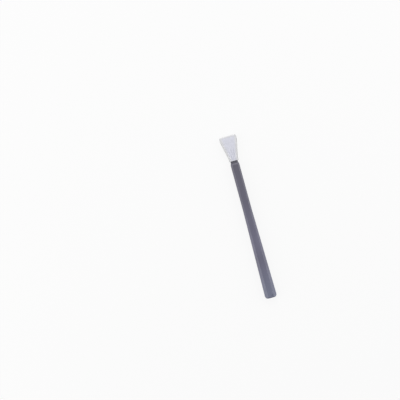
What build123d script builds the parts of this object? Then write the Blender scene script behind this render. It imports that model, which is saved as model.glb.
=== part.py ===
"""Cleaning swab for lenses and camera sensors, lying on its back panel.

A tapered, bevelled handle holds a thin flexible blade by its tang. The blade's bare
neck bends in use. Past the neck the blade flares, and carries a folded foam liner and a
wipe cloth: one sheet folded over the leading edge, welded along both sides and bonded
to the blade at its open end.

Millimetres. +Y runs from the grip end to the leading edge, +X across the swab and +Z
up. The origin is under the middle of the swab, on the surface that it lies on.
"""

import os

from build123d import *

# ---------------------------------------------------------------- driving dimensions
# Handle
handle_length = 100.8  # nose face to grip end
handle_thickness = 4.8  # back panel to front panel
grip_width = 8.6  # side to side at the grip end
shank_width = 6.35  # side to side along the straight front length
shank_length = 34.0  # straight length behind the shoulder
panel_width = 4.1  # flat panel on the front and on the back
side_height = 1.6  # upright side between the two bevels
shoulder_length = 1.3  # slope from the shank down to the nose
nose_width = 5.75
nose_thickness = 3.4
grip_corner_radius = 2.0  # corners of the grip end, seen from the front
grip_end_crown = 0.3  # bulge of the end face between its corners
grip_bevel_length = 1.0  # slope of both panels at the grip end
grip_end_thickness = 3.6  # what that slope leaves at the end face
ridge_radius = 0.35  # rounding of the long ridges
gate_well_radius = 0.5  # shallow round well left by the moulding gate
gate_well_depth = 0.3
gate_well_setback = 1.8  # centre of the well from the grip end
gate_well_offset = 1.1  # centre of the well from the middle of the panel

# Blade
tang_length = 8.0  # inside the handle
tang_width = 3.6
tang_thickness = 1.5
tang_corner_radius = 0.6
neck_length = 1.6  # bare length between the nose and the cloth
neck_thickness = 1.0
blade_edge_thickness = 0.4  # at its leading edge

# Head: foam liner and wipe cloth
wipe_length = 18.4
wipe_width = 12.6  # at the widest
wipe_base_width = 6.8  # at the open end
wipe_collar_length = 2.0  # parallel length at the open end
wipe_edge_width = 12.3  # across the leading edge, before its corners are rounded
wipe_crown = 3.0  # leading edge back to the widest point
wipe_corner_radius = 1.2
cloth_thickness = 0.25
seam_width = 0.4  # welded margin along each side
seam_thickness = 0.5
foam_thickness = 0.4
bond_length = 1.5  # adhesive band inside the open end
bond_setback = 0.2  # open end of the cloth to the band

# Fits
tang_fit = 0.05  # gap round the tang in its socket
pocket_fit = 0.05  # gap between neighbouring layers of the head
layer_fit = 0.02  # gap between faces that are pressed together
cut_margin = 1.0  # how far a cutting shape runs past what it cuts
bevel_run_on = 0.6  # where a bevel stops behind its side, as a share of half the side

# ---------------------------------------------------------------- derived places
overall_length = handle_length + neck_length + wipe_length
grip_end_y = -overall_length / 2
nose_y = grip_end_y + handle_length
shoulder_y = nose_y - shoulder_length
taper_y = shoulder_y - shank_length
wipe_base_y = nose_y + neck_length
edge_y = overall_length / 2
mid_z = handle_thickness / 2

# The neck and the paddle fill the pocket between the cloth's two welded margins.
blade_inset = seam_width + cloth_thickness + pocket_fit

# Half the space inside the cloth, at its open end and at the leading edge.
skin_half_base = neck_thickness / 2 + foam_thickness + pocket_fit
skin_half_edge = blade_edge_thickness / 2 + foam_thickness + pocket_fit

grip_bevel_y = grip_end_y + grip_bevel_length
grip_taper = (grip_width - shank_width) / (taper_y - grip_end_y)
grip_bevel_width = grip_width - grip_taper * grip_bevel_length


def across(y):
    """Plane across the swab at y, with local X along X and local Y along Z."""
    return Plane(origin=(0, y, mid_z), x_dir=(1, 0, 0), z_dir=(0, -1, 0))


def mirrored(right_side):
    """Closed outline from the points of its right-hand side."""
    return right_side + [(-x, y) for x, y in reversed(right_side)]


def bevel_corners(width, thickness):
    """Corners of a section of the handle, its bevels run on inside the upright sides."""
    half_panel = panel_width / 2
    slope = (width / 2 - half_panel) / (thickness / 2 - side_height / 2)
    inner_z = bevel_run_on * side_height / 2
    inner_x = half_panel + slope * (thickness / 2 - inner_z)
    return mirrored(
        [
            (half_panel, thickness / 2),
            (inner_x, inner_z),
            (inner_x, -inner_z),
            (half_panel, -thickness / 2),
        ]
    )


def head_wedge(side_inset, edge_inset, base_half, edge_half, start_y):
    """Wedge with the outline of the head, drawn in at the sides and the leading edge.

    It begins at start_y. Its half thickness goes from base_half at the open end of the
    cloth to edge_half at the leading edge, which is rounded over.
    """
    front_y = edge_y - edge_inset
    half_edge_width = wipe_edge_width / 2 - side_inset
    corner = max(wipe_corner_radius - edge_inset, 0.2 * wipe_corner_radius)
    with BuildPart() as wedge:
        with BuildSketch():
            with BuildLine():
                Polyline(
                    *mirrored(
                        [
                            (wipe_base_width / 2 - side_inset, start_y),
                            (wipe_base_width / 2 - side_inset, wipe_base_y + wipe_collar_length),
                            (wipe_width / 2 - side_inset, edge_y - wipe_crown),
                            (half_edge_width, front_y),
                        ]
                    ),
                    close=True,
                )
            make_face()
            fillet(vertices().group_by(Axis.Y)[-1], radius=corner)
        extrude(amount=handle_thickness + cut_margin)
        with BuildSketch(Plane.YZ):
            with BuildLine():
                Polyline(
                    (nose_y - cut_margin, mid_z - base_half),
                    (wipe_base_y, mid_z - base_half),
                    (front_y, mid_z - edge_half),
                    (front_y, mid_z + edge_half),
                    (wipe_base_y, mid_z + base_half),
                    (nose_y - cut_margin, mid_z + base_half),
                    close=True,
                )
            make_face()
            fillet(vertices().group_by(Axis.X)[-1], radius=0.9 * edge_half)
        extrude(amount=wipe_width, both=True, mode=Mode.INTERSECT)
    return wedge.part


def packing(start_y):
    """Space between the blade and the inside of the cloth, from start_y on."""
    with BuildPart() as layer:
        add(
            head_wedge(
                side_inset=blade_inset,
                edge_inset=cloth_thickness + layer_fit,
                base_half=skin_half_base - layer_fit,
                edge_half=skin_half_edge - layer_fit,
                start_y=start_y,
            )
        )
        add(
            head_wedge(
                side_inset=0,
                edge_inset=cloth_thickness + foam_thickness,
                base_half=neck_thickness / 2 + layer_fit,
                edge_half=blade_edge_thickness / 2 + layer_fit,
                start_y=wipe_base_y,
            ),
            mode=Mode.SUBTRACT,
        )
    return layer.part


# ---------------------------------------------------------------- handle
with BuildPart() as handle:
    stations = [
        (grip_end_y - cut_margin, grip_width, grip_end_thickness),
        (grip_end_y, grip_width, grip_end_thickness),
        (grip_bevel_y, grip_bevel_width, handle_thickness),
        (taper_y, shank_width, handle_thickness),
        (shoulder_y, shank_width, handle_thickness),
        (nose_y, nose_width, nose_thickness),
    ]
    for station_y, station_width, station_thickness in stations:
        with BuildSketch(across(station_y)):
            Polygon(*bevel_corners(station_width, station_thickness), align=None)
    loft(ruled=True)

    # The outline seen from the front gives the upright sides and the grip's corners.
    with BuildSketch():
        with BuildLine():
            right_side = [
                (grip_width / 2, grip_end_y + grip_end_crown),
                (shank_width / 2, taper_y),
                (shank_width / 2, shoulder_y),
                (nose_width / 2, nose_y),
            ]
            outline = Polyline(*mirrored(right_side))
            ThreePointArc(outline @ 1, (0, grip_end_y), outline @ 0)
        make_face()
        fillet(vertices().group_by(Axis.Y)[0], radius=grip_corner_radius)
    extrude(amount=handle_thickness + cut_margin, mode=Mode.INTERSECT)
    fillet(edges(), radius=ridge_radius)

    with BuildSketch(Plane.XY.offset(handle_thickness)):
        with Locations((gate_well_offset, grip_end_y + gate_well_setback)):
            Circle(gate_well_radius)
    extrude(amount=-gate_well_depth, mode=Mode.SUBTRACT)

    with BuildSketch(across(nose_y)):
        Rectangle(tang_width + 2 * tang_fit, tang_thickness + 2 * tang_fit)
    extrude(amount=tang_length + tang_fit, mode=Mode.SUBTRACT)
handle.part.label = "handle"

# ---------------------------------------------------------------- blade
with BuildPart() as blade:
    add(
        head_wedge(
            side_inset=blade_inset,
            edge_inset=cloth_thickness + foam_thickness + pocket_fit,
            base_half=neck_thickness / 2,
            edge_half=blade_edge_thickness / 2,
            start_y=nose_y + tang_fit,
        )
    )
    with BuildSketch(Plane.XY.offset(mid_z - tang_thickness / 2)):
        with Locations((0, nose_y)):
            Rectangle(tang_width, tang_length, align=(Align.CENTER, Align.MAX))
        fillet(vertices().group_by(Axis.Y)[0], radius=tang_corner_radius)
    extrude(amount=tang_thickness)
    with BuildSketch(Plane.XY.offset(mid_z - neck_thickness / 2)):
        with Locations((0, nose_y)):
            Rectangle(tang_width, tang_fit, align=(Align.CENTER, Align.MIN))
    extrude(amount=neck_thickness)
blade.part.label = "blade"

# ---------------------------------------------------------------- head
with BuildPart() as wipe_cloth:
    add(
        head_wedge(
            side_inset=seam_width,
            edge_inset=0,
            base_half=skin_half_base + cloth_thickness,
            edge_half=skin_half_edge + cloth_thickness,
            start_y=wipe_base_y,
        )
    )
    # The welded margins stand out flat along both sides.
    add(
        head_wedge(
            side_inset=0,
            edge_inset=0,
            base_half=seam_thickness / 2,
            edge_half=seam_thickness / 2,
            start_y=wipe_base_y,
        )
    )
    add(
        head_wedge(
            side_inset=seam_width + cloth_thickness,
            edge_inset=cloth_thickness,
            base_half=skin_half_base,
            edge_half=skin_half_edge,
            start_y=wipe_base_y - cut_margin,
        ),
        mode=Mode.SUBTRACT,
    )
wipe_cloth.part.label = "wipe_cloth"

with BuildPart() as foam_liner:
    add(packing(wipe_base_y + bond_setback + bond_length + layer_fit))
foam_liner.part.label = "foam_liner"

# One strip of film on each face of the blade holds the open end of the cloth.
with BuildPart() as bond_front:
    add(packing(wipe_base_y + bond_setback))
    with BuildSketch(across(wipe_base_y + bond_setback + bond_length)):
        Rectangle(wipe_base_width, handle_thickness, align=(Align.CENTER, Align.MIN))
    extrude(amount=bond_length, mode=Mode.INTERSECT)
bond_front.part.label = "bond_front"

with BuildPart() as bond_back:
    add(packing(wipe_base_y + bond_setback))
    with BuildSketch(across(wipe_base_y + bond_setback + bond_length)):
        Rectangle(wipe_base_width, handle_thickness, align=(Align.CENTER, Align.MAX))
    extrude(amount=bond_length, mode=Mode.INTERSECT)
bond_back.part.label = "bond_back"

# ---------------------------------------------------------------- files
os.makedirs("parts", exist_ok=True)
for piece in (handle, blade, foam_liner, bond_front, bond_back, wipe_cloth):
    export_step(piece.part, f"parts/{piece.part.label}.step")
    box = piece.part.bounding_box()
    print(
        f"{piece.part.label}: {box.size.X:.2f} x {box.size.Y:.2f} x {box.size.Z:.2f},"
        f" from y {box.min.Y:.2f} to {box.max.Y:.2f}, z {box.min.Z:.2f} to {box.max.Z:.2f},"
        f" {piece.part.volume:.1f} mm3, valid {piece.part.is_valid}"
    )
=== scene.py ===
"""The looks of a cleaning swab for lenses and camera sensors, built round its CAD frame.

Laid out as a Blender add-on: the sizes and colours are scene properties, and each
operator makes or finishes one piece. Metres throughout, in the frame's axes: +Y along
the swab towards its leading edge, +X across it and +Z up.
"""

import math
from collections import namedtuple

import bpy
import numpy as np
from mathutils import Matrix, Vector, noise


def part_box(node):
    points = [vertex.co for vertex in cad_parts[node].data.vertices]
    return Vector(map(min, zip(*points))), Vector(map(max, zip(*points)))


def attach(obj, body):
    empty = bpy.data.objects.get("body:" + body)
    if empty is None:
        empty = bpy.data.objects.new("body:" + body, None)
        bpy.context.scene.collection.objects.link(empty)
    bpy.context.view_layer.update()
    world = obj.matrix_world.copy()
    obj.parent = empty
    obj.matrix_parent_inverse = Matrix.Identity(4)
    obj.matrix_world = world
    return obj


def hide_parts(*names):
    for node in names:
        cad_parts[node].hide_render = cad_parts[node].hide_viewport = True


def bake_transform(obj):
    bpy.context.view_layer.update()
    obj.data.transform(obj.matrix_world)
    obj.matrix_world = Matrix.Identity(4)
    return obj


bl_info = {
    "name": "Cleaning Swab",
    "version": (1, 0, 0),
    "blender": (4, 5, 0),
    "location": "View3D > Sidebar > Swab",
    "description": "Dresses a lens and sensor cleaning swab round its CAD frame",
    "category": "Object",
}

MM = 0.001
BLACK = (0.0, 0.0, 0.0, 1.0)
WHITE = (1.0, 1.0, 1.0, 1.0)
PAPER = (0.8, 0.8, 0.8, 1.0)
RUBBED_PLASTIC = (0.21, 0.22, 0.25, 1.0)
FOAM_CELL_WALL = (0.74, 0.74, 0.70, 1.0)
# Painted shade inside the foam's pores.
FOAM_PORE_SHADE = (0.50, 0.50, 0.47, 1.0)
THIN_FILM = (0.55, 0.55, 0.50, 1.0)
THICK_FILM = (0.70, 0.70, 0.66, 1.0)
# Painted shade between the knit's stitches.
SHADE_BETWEEN_STITCHES = (0.42, 0.43, 0.50, 1.0)
# Painted shade in the hollows of the cloth's folds.
SHADE_IN_HOLLOWS = (0.50, 0.51, 0.60, 1.0)
STITCH_SLANT = 1.3  # courses that half a column's stitch rises
STITCH_RELIEF = 0.65  # of a column's height

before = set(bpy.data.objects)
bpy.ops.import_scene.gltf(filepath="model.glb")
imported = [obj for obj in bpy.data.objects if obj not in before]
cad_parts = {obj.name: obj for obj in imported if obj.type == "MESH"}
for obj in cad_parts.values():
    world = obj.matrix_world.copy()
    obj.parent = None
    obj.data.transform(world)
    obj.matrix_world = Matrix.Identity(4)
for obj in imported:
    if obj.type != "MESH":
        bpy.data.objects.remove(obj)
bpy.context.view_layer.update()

HANDLE_LOW, HANDLE_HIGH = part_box("handle")
BLADE_LOW, BLADE_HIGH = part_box("blade")
CLOTH_LOW, CLOTH_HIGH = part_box("wipe_cloth")

GRIP_END = HANDLE_LOW.y
NOSE = HANDLE_HIGH.y
TANG_END = BLADE_LOW.y
CLOTH_BASE = CLOTH_LOW.y
LEADING_EDGE = CLOTH_HIGH.y
MIDDLE = (HANDLE_LOW.z + HANDLE_HIGH.z) / 2
SWAB_LENGTH = LEADING_EDGE - GRIP_END
WIPE_LENGTH = LEADING_EDGE - CLOTH_BASE


def length(name, description, default):
    """A length property, in metres."""
    return bpy.props.FloatProperty(
        name=name, description=description, default=default, min=0.0, max=1.0,
        precision=5, unit="LENGTH", subtype="DISTANCE",
    )


def colour(name, description, default):
    """A colour property, linear."""
    return bpy.props.FloatVectorProperty(
        name=name, description=description, default=default, size=3, min=0.0, max=1.0,
        subtype="COLOR",
    )


def share(name, description, default):
    """A plain factor from 0 to 1."""
    return bpy.props.FloatProperty(
        name=name, description=description, default=default, min=0.0, max=1.0,
        subtype="FACTOR",
    )


# ---------------------------------------------------------------- properties
class HeadSettings(bpy.types.PropertyGroup):
    """Outline and build-up of the head."""

    base_width: length("Base width", "Width of the cloth at its open end", 6.8 * MM)
    collar: length("Collar", "Parallel length at the open end", 2.0 * MM)
    crown: length("Crown", "Leading edge back to the widest point", 3.0 * MM)
    edge_width: length("Edge width", "Width across the leading edge", 12.3 * MM)
    corner: length("Corner", "Radius of the leading corners", 1.2 * MM)
    seam: length("Seam", "Welded margin along each side", 0.42 * MM)
    shoulder: length("Shoulder", "From the margin up to the full thickness", 0.38 * MM)
    ply: length("Ply", "Thickness of the cloth", 0.22 * MM)
    foam: length("Foam", "Thickness of the foam liner", 0.38 * MM)
    hem: length("Hem", "Bonded band at the open end", 1.6 * MM)


class ClothSettings(bpy.types.PropertyGroup):
    """Folds and finish of the wipe cloth."""

    pleat_depth: length("Pleat depth", "Height of the pleats at the open end", 0.25 * MM)
    pleats: bpy.props.IntProperty(
        name="Pleats", description="Pleats across the open end", default=7, min=1, max=20
    )
    slack: share("Slack", "Extra width of the cut sheet, gathered at the open end", 0.19)
    cap: length("Cap", "Most that a point may move as the sheet settles", 0.6 * MM)
    stiff: length("Stiff", "Reach of the welds' stiffness into the cloth", 1.2 * MM)
    wale: length("Wale", "Width of one column of knit stitches", 0.36 * MM)
    course: length("Course", "Height of one row of knit stitches", 0.27 * MM)
    white: colour("White", "Knit yarn", (0.698, 0.704, 0.786))
    rim_tint: colour("Rim", "Yarn near the margins, pressed flat", (0.702, 0.703, 0.722))
    # The welded margin is darker partly by its own pressed colour and partly by painted shade for
    # the seam's shadow.
    weld_and_seam_shade_tint: colour("Weld", "Welded margin", (0.58, 0.58, 0.585))


class BladeSettings(bpy.types.PropertyGroup):
    """Sizes and finish of the blade."""

    tang_width: length("Tang width", "Width inside the handle", 3.6 * MM)
    neck_width: length("Neck width", "Width of the bare neck", 5.4 * MM)
    neck_thickness: length("Neck thickness", "Thickness of the bare neck", 1.0 * MM)
    edge_thickness: length("Edge thickness", "Thickness at the leading edge", 0.4 * MM)
    tint: colour("Tint", "Blade plastic", (0.134, 0.130, 0.160))


class HandleSettings(bpy.types.PropertyGroup):
    """Finish of the handle."""

    # The three tints paint light along the handle: painted shade at the nose, lighter towards the
    # grip end.
    shaded_nose_tint: colour("Front tint", "Plastic at the nose", (0.118, 0.113, 0.149))
    middle_tint: colour("Middle tint", "Plastic behind the middle", (0.157, 0.153, 0.221))
    lit_grip_tint: colour("Grip tint", "Plastic at the grip end", (0.164, 0.175, 0.247))
    middle_place: share("Middle place", "Where the middle tint is, from the grip end", 0.3)
    grain: length("Grain", "Size of the moulded texture", 0.16 * MM)
    panel_width: length("Panel width", "Flat panel between the bevels", 4.1 * MM)
    # A band painted slightly darker across the handle, placed from the grip end.
    dark_band_place: length("Band", "Flow band, from the grip end", 28.0 * MM)
    dark_band_reach: length("Band reach", "Half length of the flow band", 15.0 * MM)


class StageSettings(bpy.types.PropertyGroup):
    """Floor, lights and camera."""

    lens: length("Lens", "Focal length of the camera", 85.0 * MM)
    distance: length("Distance", "Camera to the swab", 682.0 * MM)
    tilt: bpy.props.FloatProperty(
        name="Tilt", description="Turn of the swab in the view",
        default=math.radians(15.3), unit="ROTATION", subtype="ANGLE",
    )
    shift_right: length("Shift right", "Swab's middle right of the view's", 35.6 * MM)
    shift_down: length("Shift down", "Swab's middle below the view's", 12.27 * MM)
    fill: share("Fill", "Strength of the white surroundings as light", 0.5)
    floor_white: share("Floor", "White that the floor shows to the camera", 0.86)
    floor_fade: length("Floor fade", "From the swab out to where the floor is plain white", 0.9)


class SwabSettings(bpy.types.PropertyGroup):
    """All settings of the swab."""

    head: bpy.props.PointerProperty(type=HeadSettings)
    cloth: bpy.props.PointerProperty(type=ClothSettings)
    blade: bpy.props.PointerProperty(type=BladeSettings)
    handle: bpy.props.PointerProperty(type=HandleSettings)
    stage: bpy.props.PointerProperty(type=StageSettings)


def settings():
    """The scene's settings of the swab."""
    return bpy.context.scene.cleaning_swab


# ---------------------------------------------------------------- materials
class Graph:
    """A short way to write a material's node tree."""

    def __init__(self, name):
        self.material = bpy.data.materials.new(name)
        self.material.use_nodes = True
        self.tree = self.material.node_tree
        self.shader = self.tree.nodes["Principled BSDF"]
        self.output = self.tree.nodes["Material Output"]

    def add(self, kind, values=None, **options):
        """Adds a node. values sets or links its inputs by name or number."""
        made = self.tree.nodes.new("ShaderNode" + kind)
        for option, value in options.items():
            setattr(made, option, value)
        for key, value in (values or {}).items():
            self.feed(made.inputs[key], value)
        return made

    def feed(self, socket, value):
        """Links a socket's value to another socket, or sets it."""
        if isinstance(value, bpy.types.NodeSocket):
            self.tree.links.new(value, socket)
        else:
            socket.default_value = value

    def math(self, operation, *values):
        """One step of arithmetic."""
        made = self.add("Math", operation=operation)
        for socket, value in zip(made.inputs, values):
            self.feed(socket, value)
        return made.outputs[0]

    def apart(self, first, second):
        """How far two numbers are apart."""
        return self.math("ABSOLUTE", self.math("SUBTRACT", first, second))

    def ramp(self, value, low, high, to_low=0.0, to_high=1.0):
        """Smooth step of value from low to high."""
        made = self.add(
            "MapRange", {0: value, 1: low, 2: high, 3: to_low, 4: to_high},
            interpolation_type="SMOOTHSTEP",
        )
        return made.outputs[0]

    def mix(self, amount, first, second, blend="MIX"):
        """Blends two colours."""
        made = self.add("Mix", data_type="RGBA", blend_type=blend)
        self.feed(made.inputs[0], amount)
        self.feed(made.inputs[6], first)
        self.feed(made.inputs[7], second)
        return made.outputs[2]

    def shade(self, tint, level):
        """A colour times a number."""
        grey = self.add("CombineColor", {0: level, 1: level, 2: level}).outputs[0]
        return self.mix(1.0, tint, grey, "MULTIPLY")

    def place(self, scale=(1.0, 1.0, 1.0)):
        """Place on the piece, in metres times scale."""
        where = self.add("TexCoord").outputs["Object"]
        return self.add("Mapping", {"Vector": where, "Scale": scale}).outputs[0]

    def noise(self, size, detail=2.0, stretch=(1.0, 1.0, 1.0)):
        """Noise with features of that size in metres, from 0 to 1."""
        scale = tuple(1 / (size * s) for s in stretch)
        made = self.add("TexNoise", {"Vector": self.place(scale), "Scale": 1.0, "Detail": detail})
        return made.outputs["Fac"]

    def bump(self, height, depth, strength=1.0, under=None):
        """Bump of that depth in metres, over another bump."""
        made = self.add("Bump", {"Height": height, "Distance": depth, "Strength": strength})
        if under is not None:
            self.feed(made.inputs["Normal"], under)
        return made.outputs[0]

    def finish(self, base, roughness, normal=None, plain=None):
        """Feeds the shader. Plain values are set on its own sockets, by their names."""
        self.feed(self.shader.inputs["Base Color"], base)
        self.feed(self.shader.inputs["Roughness"], roughness)
        if normal is not None:
            self.feed(self.shader.inputs["Normal"], normal)
        for socket, value in (plain or {}).items():
            self.shader.inputs[socket].default_value = value
        return self.material


def rgba(tint):
    """A colour with its alpha."""
    return (*tint, 1.0)


def handle_plastic():
    """Satin moulded plastic: fine grain, faint flow marks, ridges rubbed lighter, and painted light
    along its length, darker at the nose.
    """
    look = settings().handle
    g = Graph("handle_plastic")
    x, y, z = g.add("SeparateXYZ", {0: g.place()}).outputs
    middle = GRIP_END + look.middle_place * (NOSE - GRIP_END)
    # Painted light along the handle: darker at the nose, lighter towards the grip end.
    tint = g.mix(g.ramp(y, GRIP_END, middle), rgba(look.lit_grip_tint), rgba(look.middle_tint))
    tint = g.mix(g.ramp(y, middle, NOSE), tint, rgba(look.shaded_nose_tint))
    # A slightly darker band across the handle, between the grip end and the middle.
    from_dark_band = g.apart(y, GRIP_END + look.dark_band_place)
    tint = g.mix(g.ramp(from_dark_band, 0.0, look.dark_band_reach, 0.14, 0.0), tint, BLACK)
    flow = g.noise(4.0 * MM, 3.0, stretch=(1.0, 4.0, 1.0))
    tint = g.shade(tint, g.ramp(flow, 0.3, 0.7, 0.94, 1.06))
    from_ridge = g.apart(g.math("ABSOLUTE", x), look.panel_width / 2)
    patches = g.ramp(g.noise(1.5 * MM, 3.0), 0.35, 0.65)
    rub = g.math("MULTIPLY", g.ramp(from_ridge, 0.0, 0.22 * MM, 0.24, 0.0), patches)
    tint = g.mix(rub, tint, RUBBED_PLASTIC)

    normal = g.bump(g.noise(look.grain), 0.012 * MM, 0.6)
    parting_line = g.ramp(g.apart(z, MIDDLE), 0.03 * MM, 0.10 * MM, 1.0, 0.0)
    normal = g.bump(parting_line, 0.05 * MM, 0.8, normal)
    streaks = g.noise(1.1 * MM, 4.0, stretch=(0.5, 3.0, 0.5))
    return g.finish(tint, g.ramp(streaks, 0.3, 0.7, 0.36, 0.50), normal, {"IOR": 1.52})


def blade_plastic():
    """Darker plastic of the blade, brushed lightly along its length."""
    g = Graph("blade_plastic")
    streaks = g.noise(0.5 * MM, 3.0, stretch=(1.0, 6.0, 1.0))
    dark = settings().blade.tint
    light = [1.35 * part for part in dark]
    tint = g.mix(g.ramp(streaks, 0.35, 0.65, 0.0, 0.35), rgba(dark), rgba(light))
    normal = g.bump(g.noise(0.14 * MM), 0.010 * MM, 0.6)
    return g.finish(tint, g.ramp(streaks, 0.3, 0.7, 0.36, 0.48), normal, {"IOR": 1.49})


def open_cell_foam():
    """Off-white foam with small pores."""
    g = Graph("open_cell_foam")
    cells = g.add("TexVoronoi", {"Vector": g.place((1 / (0.22 * MM),) * 3), "Scale": 1.0})
    walls = g.ramp(cells.outputs["Distance"], 0.1, 0.6)
    # The pores are painted darker than the cell walls: painted shade inside the holes.
    tint = g.mix(walls, FOAM_PORE_SHADE, FOAM_CELL_WALL)
    return g.finish(tint, 0.95, g.bump(walls, 0.05 * MM))


def adhesive_film():
    """Milky film, set unevenly."""
    g = Graph("adhesive_film")
    depth = g.noise(0.6 * MM, 3.0)
    tint = g.mix(depth, THIN_FILM, THICK_FILM)
    return g.finish(tint, g.ramp(depth, 0.3, 0.7, 0.25, 0.45), g.bump(depth, 0.03 * MM))


def knit_height(g, wale, course):
    """Height of a plain knit: columns of V-shaped stitches that run along the swab."""
    x, y, _ = g.add("SeparateXYZ", {0: g.place((1 / wale, 1 / course, 1.0))}).outputs
    leg = g.apart(g.math("FRACT", x), 0.5)
    column = g.math("SINE", g.math("MULTIPLY", leg, math.tau))
    slanted = g.math("MULTIPLY_ADD", leg, STITCH_SLANT, y)
    row = g.math("MULTIPLY_ADD", g.math("SINE", g.math("MULTIPLY", slanted, math.tau)), 0.5, 0.5)
    stitch = g.math("MULTIPLY_ADD", row, STITCH_RELIEF, 1 - STITCH_RELIEF)
    return g.math("MULTIPLY", column, stitch)


def white_knit():
    """Lint-free white knit, with welded margins and a pressed hem, and painted shade between its
    stitches, in the hollows of its folds and on its welds.
    """
    look = settings().cloth
    g = Graph("white_knit")
    weld, hollow_shade, rim = (
        g.add("Attribute", attribute_name=name).outputs["Fac"] for name in ("weld", "hollow_shade", "rim")
    )
    knit = knit_height(g, look.wale, look.course)
    fuzz = g.noise(0.12 * MM, 4.0)

    # Painted shade between the stitches: the low parts of the knit are painted darker.
    tint = g.mix(g.ramp(knit, 0.0, 0.8, 0.16, 0.0), rgba(look.white), SHADE_BETWEEN_STITCHES)
    # Painted shade in the hollows between the pleats, deeper hollows darker.
    tint = g.mix(g.ramp(hollow_shade, 0.0, 1.0, 0.0, 0.36), tint, SHADE_IN_HOLLOWS)
    tint = g.mix(rim, tint, rgba(look.rim_tint))
    # The welded margin's own darker colour, deepened with painted shade for the shadow along the
    # seam.
    tint = g.mix(g.math("MULTIPLY", weld, 0.8), tint, rgba(look.weld_and_seam_shade_tint))
    tint = g.shade(tint, g.ramp(g.noise(2.2 * MM, 3.0), 0.3, 0.7, 0.97, 1.03))

    open_knit = g.math("SUBTRACT", 1.0, g.math("MULTIPLY", weld, 0.75))
    normal = g.bump(g.math("MULTIPLY", knit, open_knit), 0.045 * MM, 0.5)
    normal = g.bump(fuzz, 0.015 * MM, 0.3, normal)
    roughness = g.ramp(weld, 0.0, 1.0, 0.92, 0.55)
    return g.finish(tint, roughness, normal, {"Sheen Weight": 0.25, "Sheen Roughness": 0.5})


def show_with(piece, material):
    """Gives the whole piece one material."""
    piece.data.materials.clear()
    piece.data.materials.append(material)


# ---------------------------------------------------------------- shapes
OUTLINE_ROUNDING = 0.8 * MM  # reach to each side over which the outline is averaged
OUTLINE_SAMPLES = 9
COLUMNS = 73  # of a folded layer's mesh, across
ROWS = 85  # along one of its plies
FOLD_ROWS = 9  # round half of its fold
ROUNDED_EDGE = 0.25  # of a layer's half height, left at an edge without a margin

Layer = namedtuple("Layer", "points back across inside side")


def smooth(value, low, high):
    """Smooth step from 0 at low to 1 at high, on numbers or arrays."""
    t = np.clip((value - low) / (high - low), 0.0, 1.0)
    return t * t * (3 - 2 * t)


def head_half_width(back):
    """Half width of the head, at a distance back from its leading edge."""
    head = settings().head
    widest = (CLOTH_HIGH.x - CLOTH_LOW.x) / 2
    places = [0.0, head.crown, WIPE_LENGTH - head.collar]
    halves = [head.edge_width / 2, widest, head.base_width / 2]
    # Averaging over a short stretch rounds the bends of the outline.
    shifts = np.linspace(-OUTLINE_ROUNDING, OUTLINE_ROUNDING, OUTLINE_SAMPLES)
    half = np.mean([np.interp(np.abs(back + shift), places, halves) for shift in shifts], axis=0)
    drop = np.clip(head.corner - back, 0.0, head.corner)
    return half - head.corner + np.sqrt(head.corner**2 - drop**2)


def grid_mesh(name, points, closed=False):
    """Piece with a mesh of a grid of points [row, column, xyz].

    closed joins each row into a ring, which turns as rounded_loop's do, and closes the ends.
    """
    rows, columns = points.shape[:2]
    faces = []
    for row in range(rows - 1):
        here, ahead = row * columns, (row + 1) * columns
        for column in range(columns if closed else columns - 1):
            beside = (column + 1) % columns
            faces.append((here + column, here + beside, ahead + beside, ahead + column))
    if closed:
        faces = [face[::-1] for face in faces]
        faces.append(tuple(range(columns)))
        faces.append(tuple(reversed(range((rows - 1) * columns, rows * columns))))
    mesh = bpy.data.meshes.new(name)
    mesh.from_pydata(points.reshape(-1, 3).tolist(), [], faces)
    mesh.update()
    mesh.shade_smooth()
    piece = bpy.data.objects.new(name, mesh)
    bpy.context.scene.collection.objects.link(piece)
    return piece


def rounded_loop(half_wide, half_high, radius, steps=6):
    """Points round a rectangle with rounded corners, as (across, up)."""
    loop = []
    for quarter in range(4):
        centre_a = (half_wide - radius) * (1 if quarter in (0, 3) else -1)
        centre_b = (half_high - radius) * (1 if quarter in (0, 1) else -1)
        for step in range(steps):
            angle = (quarter + step / (steps - 1)) * math.pi / 2
            loop.append((centre_a + radius * math.cos(angle), centre_b + radius * math.sin(angle)))
    return loop


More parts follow.
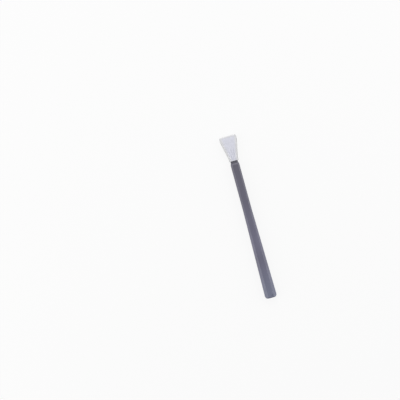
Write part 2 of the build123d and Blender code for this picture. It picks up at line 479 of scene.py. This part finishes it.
def folded_layer(side_gap, edge_gap, half_base, half_edge, ply, margin, end_back):
    """Middle surface of a layer folded over the leading edge.

    Each point of the layer has its distance back from the leading edge, its place across
    from -1 to 1, its distance inside from the layer's edge, and its side: 1 on the upper
    ply and -1 on the lower. ply is the layer's thickness, and its two plies lie half_base
    above and below the middle at the open end and half_edge at the leading edge. In its
    margin along each edge they lie on one another.
    """
    across = np.linspace(-1.0, 1.0, COLUMNS)
    fold = np.linspace(0.0, math.pi / 2, FOLD_ROWS)
    run = np.linspace(0.0, 1.0, ROWS)[1:]
    # Distance back along one ply: round the fold, then on to the open end.
    back_fold = edge_gap + ply / 2 + half_edge * (1 - np.cos(fold))
    back_run = back_fold[-1] + (end_back - back_fold[-1]) * run
    back_ply = np.concatenate([back_fold, back_run])
    lift_ply = np.concatenate([np.sin(fold), np.ones(len(run))])
    back = np.concatenate([back_ply[:0:-1], back_ply])
    lift = np.concatenate([lift_ply[:0:-1], -lift_ply])

    back_grid = np.repeat(back[:, None], len(across), axis=1)
    across_grid = np.repeat(across[None, :], len(back), axis=0)
    half = head_half_width(back_grid) - side_gap
    inside = half * (1 - np.abs(across_grid))

    share_back = back_grid / WIPE_LENGTH
    full = half_edge + (half_base - half_edge) * share_back
    # At its very edge a layer with a margin is closed, and any other is rounded.
    at_edge = ply / 2 if margin else ROUNDED_EDGE * full
    rise = smooth(inside, margin, margin + settings().head.shoulder)
    height = at_edge + (full - at_edge) * np.sqrt(rise)
    points = np.stack(
        [across_grid * half, LEADING_EDGE - back_grid, MIDDLE + lift[:, None] * height], axis=2
    )
    side = np.sign(lift[:, None]) * np.ones_like(height)
    return Layer(points, back_grid, across_grid, inside, side)


def store(piece, name, values):
    """Keeps one number per point on the piece."""
    attribute = piece.data.attributes.new(name, "FLOAT", "POINT")
    attribute.data.foreach_set("value", np.asarray(values, np.float32).ravel())


def thicken(piece, thickness):
    """Gives a sheet its thickness, half to each side."""
    solid = piece.modifiers.new("thickness", "SOLIDIFY")
    solid.thickness = thickness
    solid.offset = 0.0
    solid.use_even_offset = False
    solid.use_quality_normals = True


def scatter(points, size, seed):
    """Noise at each point, from about -1 to 1."""
    shift = Vector((3.1 * seed, 1.7 * seed, 5.3 * seed))
    flat = points.reshape(-1, 3)
    values = [noise.noise(Vector(p) / size + shift) for p in flat]
    return np.array(values).reshape(points.shape[:-1])


def soften(field, passes):
    """Averages a grid of values with their neighbours, that many times over."""
    for _ in range(passes):
        for axis in (0, 1):
            beside = [(1, 1) if i == axis else (0, 0) for i in range(field.ndim)]
            wide = np.pad(field, beside, mode="edge")
            count = field.shape[axis]
            before = np.take(wide, range(count), axis)
            after = np.take(wide, range(2, count + 2), axis)
            field = (before + 2 * field + after) / 4
    return field


SIM_SCALE = 100.0  # the sheet is enlarged by this, which suits the solver
SIM_FRAMES = 30
GATHER_FRAMES = 18  # of them, while the held points are drawn in
CONTACT_GAP = 0.03 * MM


def settle(cut, gathered, held, core):
    """Gathers a sheet over a firm core by simulation, and returns where its points end.

    cut, gathered and core are grids of points, and held is a grid of yes or no. The sheet
    starts as cut, and its held points are drawn in to their places in gathered, so that
    the rest has to buckle.
    """
    scene = bpy.context.scene
    sheet = grid_mesh("settling_sheet", cut * SIM_SCALE)
    sheet.shape_key_add(name="cut")
    drawn_in = sheet.shape_key_add(name="gathered")
    drawn_in.data.foreach_set("co", (gathered * SIM_SCALE).astype(np.float32).ravel())
    for frame_number, amount in ((1, 0.0), (GATHER_FRAMES, 1.0)):
        drawn_in.value = amount
        drawn_in.keyframe_insert("value", frame=frame_number)
    sheet.vertex_groups.new(name="held").add(np.flatnonzero(held).tolist(), 1.0, "REPLACE")

    firm = grid_mesh("settling_core", core * SIM_SCALE)
    firm.modifiers.new("firm", "COLLISION")
    firm.collision.thickness_outer = CONTACT_GAP * SIM_SCALE
    firm.collision.cloth_friction = 3.0

    cloth = sheet.modifiers.new("cloth", "CLOTH")
    knit = cloth.settings
    knit.quality = 6
    knit.mass = 0.3
    knit.tension_stiffness = 25.0
    knit.compression_stiffness = 25.0
    knit.shear_stiffness = 5.0
    knit.bending_stiffness = 1.0
    knit.air_damping = 3.0
    knit.vertex_group_mass = "held"
    knit.effector_weights.gravity = 0.0
    cloth.collision_settings.distance_min = CONTACT_GAP * SIM_SCALE
    cloth.collision_settings.collision_quality = 3
    cloth.point_cache.frame_start = 1
    cloth.point_cache.frame_end = SIM_FRAMES
    for step in range(1, SIM_FRAMES + 1):
        scene.frame_set(step)
    ready = sheet.evaluated_get(bpy.context.evaluated_depsgraph_get())
    settled = np.empty(cut.size, np.float32)
    ready.data.vertices.foreach_get("co", settled)
    for helper in (sheet, firm):
        bpy.data.meshes.remove(helper.data)
    scene.frame_set(1)
    return settled.reshape(cut.shape) / SIM_SCALE


# ---------------------------------------------------------------- operators
class SWAB_OT_finish_handle(bpy.types.Operator):
    """Give the moulded handle its plastic"""

    bl_idname = "swab.finish_handle"
    bl_label = "Finish handle"

    def execute(self, context):
        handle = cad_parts["handle"]
        show_with(handle, handle_plastic())
        return {"FINISHED"}


BOND_STATIONS = 61
BOND_FILL = 0.94  # of the gap between blade and cloth
BOND_END = 0.08  # of half a strip's length, where its end is rounded
BOND_END_WIDTH = 0.45  # of its width, left at the very end
BOND_WAVES = 7  # of the uneven edge, in half a strip's length
BOND_WAVE_DEPTH = 0.12  # of its width


class SWAB_OT_make_bond(bpy.types.Operator):
    """Make the two bond strips, squeezed out unevenly between blade and cloth"""

    bl_idname = "swab.make_bond"
    bl_label = "Make bond strips"

    def execute(self, context):
        film = adhesive_film()
        for seed, name in enumerate(("bond_front", "bond_back")):
            low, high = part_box(name)
            middle, half = (low + high) / 2, (high - low) / 2
            depth = BOND_FILL * half.z
            rings = []
            for place in np.linspace(-1.0, 1.0, BOND_STATIONS):
                ending = max(0.0, abs(place) - (1 - BOND_END)) / BOND_END
                full = BOND_END_WIDTH + (1 - BOND_END_WIDTH) * math.sqrt(1 - ending**2)
                wave = abs(noise.noise(Vector((BOND_WAVES * place, 0, 9 * seed))))
                width = half.y * full * (1 - BOND_WAVE_DEPTH * wave)
                x = middle.x + half.x * place
                loop = rounded_loop(width, depth, 0.9 * depth)
                rings.append([(x, middle.y - along, middle.z + up) for along, up in loop])
            strip = grid_mesh(name + "_visual", np.array(rings), closed=True)
            show_with(strip, film)
            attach(strip, "head")
            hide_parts(name)
        return {"FINISHED"}


TANG_CORNER = 0.5 * MM
TIP_CORNER = 0.6 * MM
BLADE_EDGE = 0.22 * MM  # rounding along its edges
NECK_START = NOSE + 0.05 * MM


def rounded_off(radius, from_end):
    """How much a corner of that radius narrows a side, at a distance from the side's end."""
    short = max(0.0, radius - from_end)
    return radius - math.sqrt(radius**2 - short**2)


class SWAB_OT_make_blade(bpy.types.Operator):
    """Make the flexible blade: tang, bare neck and tapering paddle"""

    bl_idname = "swab.make_blade"
    bl_label = "Make blade"

    def execute(self, context):
        rings = []
        for y, half, depth in [*self.tang(), *self.neck_and_paddle()]:
            loop = rounded_loop(half, depth, min(BLADE_EDGE, 0.8 * depth))
            rings.append([(across, y, MIDDLE + up) for across, up in loop])
        blade = grid_mesh("blade_visual", np.array(rings), closed=True)
        show_with(blade, blade_plastic())
        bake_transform(blade)
        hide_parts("blade")
        return {"FINISHED"}

    def tang(self):
        """Places along the tang, each with its half width and half thickness."""
        look = settings().blade
        half, depth = look.tang_width / 2, (BLADE_HIGH.z - BLADE_LOW.z) / 2
        corner_end = TANG_END + TANG_CORNER
        for y in np.linspace(TANG_END, corner_end, 7):
            yield y, half - rounded_off(TANG_CORNER, y - TANG_END), depth
        for y in np.linspace(corner_end, NOSE, 11)[1:]:
            yield y, half, depth
        yield (NOSE + NECK_START) / 2, half, look.neck_thickness / 2

    def neck_and_paddle(self):
        """The same from the nose to the blade's tip. The paddle has the head's outline."""
        look = settings().blade
        half = look.neck_width / 2
        for y in np.linspace(NECK_START, CLOTH_BASE, 20):
            yield y, half, look.neck_thickness / 2
        inset = settings().head.base_width / 2 - half
        tip = BLADE_HIGH.y
        for y in np.linspace(CLOTH_BASE, tip, 90)[1:]:
            half = head_half_width(LEADING_EDGE - y) - inset - rounded_off(TIP_CORNER, tip - y)
            thin = (y - CLOTH_BASE) / (tip - CLOTH_BASE)
            yield y, half, (look.neck_thickness * (1 - thin) + look.edge_thickness * thin) / 2


LAYER_GAP = 0.03 * MM  # between blade, foam and cloth
FOAM_SETBACK = 0.2 * MM  # from the bonded hem
FOAM_WAVE_DEPTH = 0.02 * MM
FOAM_WAVE_SIZE = 0.8 * MM


class SWAB_OT_make_foam(bpy.types.Operator):
    """Make the foam liner, folded over the blade's leading edge"""

    bl_idname = "swab.make_foam"
    bl_label = "Make foam liner"

    def execute(self, context):
        head, blade = settings().head, settings().blade
        layer = folded_layer(
            side_gap=head.seam + head.ply + LAYER_GAP,
            edge_gap=head.ply + LAYER_GAP,
            half_base=blade.neck_thickness / 2 + LAYER_GAP + head.foam / 2,
            half_edge=blade.edge_thickness / 2 + LAYER_GAP + head.foam / 2,
            ply=head.foam,
            margin=0.0,
            end_back=WIPE_LENGTH - head.hem - FOAM_SETBACK,
        )
        waves = scatter(layer.points, FOAM_WAVE_SIZE, seed=4)
        layer.points[..., 2] += FOAM_WAVE_DEPTH * layer.side * waves
        foam = grid_mesh("foam_liner_visual", layer.points)
        thicken(foam, head.foam)
        show_with(foam, open_cell_foam())
        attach(foam, "head")
        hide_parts("foam_liner")
        return {"FINISHED"}


EDGE_THINNING = 0.30 * MM  # half thickness that the head loses towards its leading edge
PLEAT_RISE = (4.5 * MM, 14.0 * MM)  # back from the leading edge, where a pleat grows
PLEAT_WANDER = 0.6  # radians
PLEAT_WANDER_LENGTH = 6 * MM
PLEAT_SHARPNESS = 1.5  # 1 is a plain wave
CREPE_DEPTH = 0.03 * MM  # fine unevenness of the sheet, from which its folds start
CREPE_SIZE = 0.9 * MM
GATHER_RISE = (2.0 * MM, 12.0 * MM)  # back from the leading edge, where the slack grows
CORE_CLEARANCE = 0.02 * MM
SOFTENING = 2  # passes over the settled sheet
SIDEWAYS_SHARE = 0.4  # of its movement across that is kept
SINK_LIMIT = 0.01 * MM  # towards the foam
UNEVEN_TRIM = 0.012 * MM  # one ply past the middle of the cut edge, the other short of it
HOLLOW_REACH = 6  # columns to each side
HOLLOW_DEPTH = 0.05 * MM  # of a hollow that is marked in full
WELD_SINK = 0.018 * MM  # of each ply into the other
WELD_RIB = 0.05 * MM
WELD_RIB_PITCH = 0.8 * MM


class SWAB_OT_make_cloth(bpy.types.Operator):
    """Make the folded, welded and gathered wipe cloth"""

    bl_idname = "swab.make_cloth"
    bl_label = "Make wipe cloth"

    def execute(self, context):
        head = settings().head
        half_base = (CLOTH_HIGH.z - CLOTH_LOW.z) / 2 - head.ply / 2
        layer = folded_layer(
            side_gap=0.0,
            edge_gap=0.0,
            half_base=half_base,
            half_edge=half_base - EDGE_THINNING,
            ply=head.ply,
            margin=head.seam,
            end_back=WIPE_LENGTH,
        )
        off_seam = smooth(layer.inside, head.seam, head.seam + head.shoulder)
        moved = self.folds(layer, off_seam)
        finished = self.finish_margins(layer, layer.points + moved)
        cloth = grid_mesh("wipe_cloth_visual", finished)
        # How deep each point lies in a hollow between the pleats, for the material's painted shade.
        store(cloth, "hollow_shade", off_seam * self.hollows(layer.side * moved[..., 2]))
        self.mark_margins(cloth, layer)
        thicken(cloth, head.ply)
        show_with(cloth, white_knit())
        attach(cloth, "head")
        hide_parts("wipe_cloth")
        return {"FINISHED"}

    def folds(self, layer, off_seam):
        """How far each point moves as the sheet, cut wider than its pocket, is gathered."""
        head, look = settings().head, settings().cloth
        points, back, across, inside, side = layer
        along = np.stack([across, back / PLEAT_WANDER_LENGTH, side], axis=2)
        wander = PLEAT_WANDER * scatter(along, 1.0, seed=2)
        wave = np.abs(np.cos(across * look.pleats * math.pi / 2 + wander + side))
        pleats = look.pleat_depth * wave**PLEAT_SHARPNESS * smooth(back, *PLEAT_RISE)
        gathered = points.copy()
        crepe = CREPE_DEPTH * scatter(points, CREPE_SIZE, seed=3)
        gathered[..., 2] += side * off_seam * (pleats + crepe)
        cut = gathered.copy()
        cut[..., 0] *= 1 + look.slack * smooth(back, *GATHER_RISE)
        held = (inside < 0.9 * head.seam) | (back > WIPE_LENGTH - 0.5 * head.hem)
        core = points.copy()
        core[..., 2] -= side * (head.ply / 2 + CORE_CLEARANCE)
        settled = settle(cut, gathered, held, core)

        # The weld is stiff, so the cloth beside it keeps its shape.
        free = smooth(inside, head.seam, head.seam + look.stiff)
        moved = soften(np.clip(settled - points, -look.cap, look.cap), SOFTENING)
        moved *= free[..., None]
        moved[..., 0] *= SIDEWAYS_SHARE
        moved[..., 2] = side * np.maximum(side * moved[..., 2], -SINK_LIMIT)
        return moved

    def hollows(self, lift):
        """How far each point lies under the average of its neighbours across, up to 1."""
        shifts = range(-HOLLOW_REACH, HOLLOW_REACH + 1)
        around = np.stack([np.roll(lift, shift, axis=1) for shift in shifts]).mean(axis=0)
        return np.clip((around - lift) / HOLLOW_DEPTH, 0.0, 1.0)

    def finish_margins(self, layer, points):
        """Trims the plies a hair unevenly, and presses the weld and its ribs into them."""
        seam = settings().head.seam
        trim = UNEVEN_TRIM * layer.side
        points[..., 0] += trim * np.sign(layer.across) * smooth(layer.back, 0.0, 0.6 * MM)
        points[..., 1] -= trim * smooth(layer.back, 2.0 * MM, 6.0 * MM)
        pressed = 1 - smooth(layer.inside, 0.7 * seam, seam)
        ribs = 0.5 + 0.5 * np.cos(layer.back * math.tau / WELD_RIB_PITCH)
        points[..., 2] -= layer.side * pressed * (WELD_SINK + WELD_RIB * ribs)
        return points

    def mark_margins(self, cloth, layer):
        """Tells the material where the cloth is welded, and where it lies flat by a margin."""
        seam = settings().head.seam
        side_weld = 1 - smooth(layer.inside, 0.8 * seam, 1.15 * seam)
        end_weld = smooth(layer.back, WIPE_LENGTH - 0.35 * MM, WIPE_LENGTH - 0.1 * MM)
        store(cloth, "weld", np.maximum(side_weld, end_weld))
        side_rim = 1 - smooth(layer.inside, 0.8 * MM, 2.6 * MM)
        edge_rim = 1 - smooth(layer.back, 0.3 * MM, 1.8 * MM)
        store(cloth, "rim", np.maximum(side_rim, edge_rim))


FLOOR_REACH = 4.0  # half its side
FLOOR_GAP = 0.02 * MM  # under the swab
SOFTBOXES = (  # name, place, side and watts
    ("right_box", (0.62, 0.10, 0.28), 0.6, 2.1),
    ("left_box", (-0.62, 0.05, 0.28), 0.6, 2.2),
    ("far_box", (0.05, 0.70, 0.45), 0.5, 2.0),
)


class SWAB_OT_build_stage(bpy.types.Operator):
    """Build the floor, the lights and the camera"""

    bl_idname = "swab.build_stage"
    bl_label = "Build stage"

    def execute(self, context):
        scene = context.scene
        scene.view_settings.view_transform = "Standard"
        self.floor()
        self.world(scene)
        self.lights()
        self.camera(scene)
        return {"FINISHED"}

    def floor(self):
        """White floor that takes the swab's shadow, and plain white far from it."""
        look = settings().stage
        level = HANDLE_LOW.z - FLOOR_GAP
        corners = ((-1, -1), (1, -1), (1, 1), (-1, 1))
        points = [(FLOOR_REACH * x, FLOOR_REACH * y, level) for x, y in corners]
        mesh = bpy.data.meshes.new("floor")
        mesh.from_pydata(points, [], [(0, 1, 2, 3)])
        floor = bpy.data.objects.new("floor", mesh)
        bpy.context.scene.collection.objects.link(floor)
        g = Graph("floor_white")
        rays = g.add("LightPath").outputs
        seen = rays["Is Camera Ray"]
        for kind in ("Is Glossy Ray", "Is Transmission Ray"):
            seen = g.math("MAXIMUM", seen, rays[kind])
        away = g.add("VectorMath", {0: g.place()}, operation="LENGTH").outputs["Value"]
        white = g.ramp(away, SWAB_LENGTH, look.floor_fade, look.floor_white, 1.0)
        paper = g.add("BsdfDiffuse", {"Color": PAPER})
        veil = g.add("Emission", {"Color": WHITE, "Strength": 1.0})
        amount = g.math("MULTIPLY", seen, white)
        blend = g.add("MixShader", {0: amount, 1: paper.outputs[0], 2: veil.outputs[0]})
        g.tree.links.new(blend.outputs[0], g.output.inputs["Surface"])
        show_with(floor, g.material)

    def world(self, scene):
        """White surroundings that light the swab less strongly than they show."""
        world = bpy.data.worlds.new("studio")
        world.use_nodes = True
        tree = world.node_tree
        background = tree.nodes["Background"]
        rays = tree.nodes.new("ShaderNodeLightPath")
        strength = tree.nodes.new("ShaderNodeMapRange")
        strength.inputs["To Min"].default_value = settings().stage.fill
        tree.links.new(rays.outputs["Is Camera Ray"], strength.inputs["Value"])
        tree.links.new(strength.outputs["Result"], background.inputs["Strength"])
        background.inputs["Color"].default_value = WHITE
        scene.world = world

    def lights(self):
        """Soft lamps round the swab, aimed at its middle."""
        aim = Vector((0, 0, MIDDLE))
        for name, place, side, watts in SOFTBOXES:
            lamp = bpy.data.lights.new(name, "AREA")
            lamp.shape = "SQUARE"
            lamp.size = side
            lamp.energy = watts
            holder = bpy.data.objects.new(name, lamp)
            holder.location = place
            holder.rotation_euler = (aim - Vector(place)).to_track_quat("-Z", "Y").to_euler()
            bpy.context.scene.collection.objects.link(holder)

    def camera(self, scene):
        """Camera straight above, turned so that the swab lies at its tilt."""
        look = settings().stage
        right = Vector((math.cos(look.tilt), -math.sin(look.tilt), 0))
        up = Vector((math.sin(look.tilt), math.cos(look.tilt), 0))
        middle = Vector((0, (GRIP_END + LEADING_EDGE) / 2, MIDDLE))
        data = bpy.data.cameras.new("camera")
        data.lens = look.lens / MM
        data.sensor_width = 36.0
        camera = bpy.data.objects.new("camera", data)
        place = middle - look.shift_right * right + look.shift_down * up
        axes = Matrix((right, up, Vector((0, 0, 1)))).transposed().to_4x4()
        camera.matrix_world = Matrix.Translation(place + Vector((0, 0, look.distance))) @ axes
        scene.collection.objects.link(camera)
        scene.camera = camera


class SWAB_PT_panel(bpy.types.Panel):
    """Settings and steps of the swab"""

    bl_idname = "SWAB_PT_panel"
    bl_label = "Cleaning Swab"
    bl_space_type = "VIEW_3D"
    bl_region_type = "UI"
    bl_category = "Swab"

    def draw(self, context):
        for step in STEPS:
            self.layout.operator(step.bl_idname)
        for name in SwabSettings.__annotations__:
            box = self.layout.box()
            box.label(text=name.title())
            group = getattr(settings(), name)
            for setting in group.__annotations__:
                box.prop(group, setting)


STEPS = (
    SWAB_OT_finish_handle,
    SWAB_OT_make_blade,
    SWAB_OT_make_bond,
    SWAB_OT_make_foam,
    SWAB_OT_make_cloth,
    SWAB_OT_build_stage,
)
CLASSES = (
    HeadSettings,
    ClothSettings,
    BladeSettings,
    HandleSettings,
    StageSettings,
    SwabSettings,
    *STEPS,
    SWAB_PT_panel,
)


def register():
    for item in CLASSES:
        bpy.utils.register_class(item)
    bpy.types.Scene.cleaning_swab = bpy.props.PointerProperty(type=SwabSettings)


def unregister():
    del bpy.types.Scene.cleaning_swab
    for item in reversed(CLASSES):
        bpy.utils.unregister_class(item)


def main():
    register()
    bpy.ops.swab.finish_handle()
    bpy.ops.swab.make_blade()
    bpy.ops.swab.make_bond()
    bpy.ops.swab.make_foam()
    bpy.ops.swab.make_cloth()
    bpy.ops.swab.build_stage()


if __name__ == "__main__":
    main()
